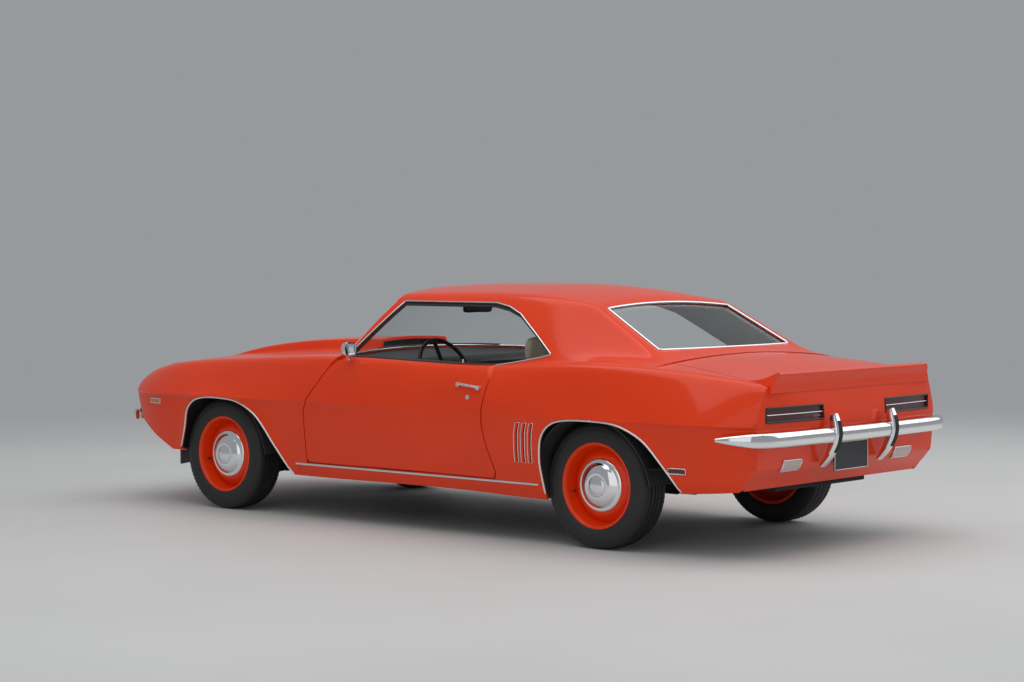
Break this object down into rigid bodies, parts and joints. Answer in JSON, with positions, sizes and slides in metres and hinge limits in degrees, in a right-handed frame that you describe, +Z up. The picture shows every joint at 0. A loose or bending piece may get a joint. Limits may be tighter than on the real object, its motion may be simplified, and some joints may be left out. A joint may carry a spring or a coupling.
{
  "type": "two-door hardtop muscle car",
  "caption": "Orange two-door hardtop coupe with raised hood scoop, ducktail spoiler, steel wheels, opening doors, hood and trunk lid, steered front wheels and rolling tyres.",
  "frame": {"origin": "on the road under the middle of the car's length and width", "axes": "+X forward, +Y to the car's left, +Z up"},
  "size_m": [4.724, 1.8802, 1.3049],
  "materials": {
    "orange_paint": "glossy orange enamel",
    "black_paint": "satin black",
    "bright_trim": "polished chrome",
    "grille_black": "satin black",
    "dam_black": "matt black",
    "red_lens": "dark red lens",
    "clear_lens": "pale ribbed lens",
    "amber_lens": "amber lens",
    "clear_glass": "clear",
    "dash_vinyl": "grained black",
    "seat_vinyl": "ivory vinyl",
    "plate_paint": "blank plate",
    "cast_metal": "dark cast iron",
    "bare_steel": "dull steel",
    "tyre_rubber": "black rubber"
  },
  "bodies": {
    "car_body": {"body_shell": "orange_paint", "fender_left": "orange_paint", "fender_right": "orange_paint", "nose_panel": "orange_paint", "front_valance": "orange_paint", "rear_valance": "orange_paint", "floor_pan": "black_paint", "wheel_housings": "black_paint", "front_frame": "black_paint", "grille": "grille_black", "headlamp_covers": "grille_black", "front_bumper": "bright_trim", "rear_bumper": "bright_trim", "air_dam": "dam_black", "parking_lamps": "amber_lens", "tail_lamps": "red_lens", "reverse_lamps": "clear_lens", "number_plate": "plate_paint", "windshield": "clear_glass", "rear_window": "clear_glass", "dashboard": "dash_vinyl", "steering_wheel": "dash_vinyl", "front_seats": "seat_vinyl", "rear_seat": "seat_vinyl", "cabin_mirror": "bright_trim", "engine": "cast_metal", "exhaust": "bare_steel", "fuel_tank": "bare_steel", "rear_axle": "cast_metal"},
    "door_left_body": {"door_left": "orange_paint", "door_mirror": "bright_trim"},
    "door_right_body": {"door_right": "orange_paint"},
    "hood_body": {"hood": "orange_paint"},
    "trunk_body": {"trunk_lid": "orange_paint", "rear_spoiler": "orange_paint"},
    "knuckle_left_body": {"knuckle_left": "cast_metal"},
    "knuckle_right_body": {"knuckle_right": "cast_metal"},
    "front_left_wheel_body": {"tyre_front_left": "tyre_rubber", "wheel_front_left": "orange_paint"},
    "front_right_wheel_body": {"tyre_front_right": "tyre_rubber", "wheel_front_right": "orange_paint"},
    "rear_left_wheel_body": {"tyre_rear_left": "tyre_rubber", "wheel_rear_left": "orange_paint"},
    "rear_right_wheel_body": {"tyre_rear_right": "tyre_rubber", "wheel_rear_right": "orange_paint"}
  },
  "joints": [
    {"name": "door_left_hinge", "type": "hinge", "parent": "car_body", "child": "door_left_body", "pos_m": [0.696, 0.9166, 0.58], "axis": [0, 0, -1], "range_deg": [0, 65]},
    {"name": "door_right_hinge", "type": "hinge", "parent": "car_body", "child": "door_right_body", "pos_m": [0.696, -0.9166, 0.58], "axis": [0, 0, 1], "range_deg": [0, 65]},
    {"name": "hood_hinge", "type": "hinge", "parent": "car_body", "child": "hood_body", "pos_m": [0.6008, 0, 0.91], "axis": [0, -1, 0], "range_deg": [0, 50]},
    {"name": "trunk_hinge", "type": "hinge", "parent": "car_body", "child": "trunk_body", "pos_m": [-1.6356, 0, 0.9565], "axis": [0, 1, 0], "range_deg": [0, 70]},
    {"name": "steer_left", "type": "hinge", "parent": "car_body", "child": "knuckle_left_body", "pos_m": [1.432, 0.628, 0.316], "axis": [0, 0, 1], "range_deg": [-33, 33]},
    {"name": "steer_right", "type": "hinge", "parent": "car_body", "child": "knuckle_right_body", "pos_m": [1.432, -0.628, 0.316], "axis": [0, 0, 1], "range_deg": [-33, 33]},
    {"name": "front_left_wheel_spin", "type": "hinge", "parent": "knuckle_left_body", "child": "front_left_wheel_body", "pos_m": [1.432, 0.756, 0.316], "axis": [0, 1, 0], "continuous": true},
    {"name": "front_right_wheel_spin", "type": "hinge", "parent": "knuckle_right_body", "child": "front_right_wheel_body", "pos_m": [1.432, -0.756, 0.316], "axis": [0, 1, 0], "continuous": true},
    {"name": "rear_left_wheel_spin", "type": "hinge", "parent": "car_body", "child": "rear_left_wheel_body", "pos_m": [-1.311, 0.756, 0.316], "axis": [0, 1, 0], "continuous": true},
    {"name": "rear_right_wheel_spin", "type": "hinge", "parent": "car_body", "child": "rear_right_wheel_body", "pos_m": [-1.311, -0.756, 0.316], "axis": [0, 1, 0], "continuous": true}
  ],
  "couplings": [
    {"joint": "steer_right", "follows": "steer_left", "ratio": 1}
  ]
}
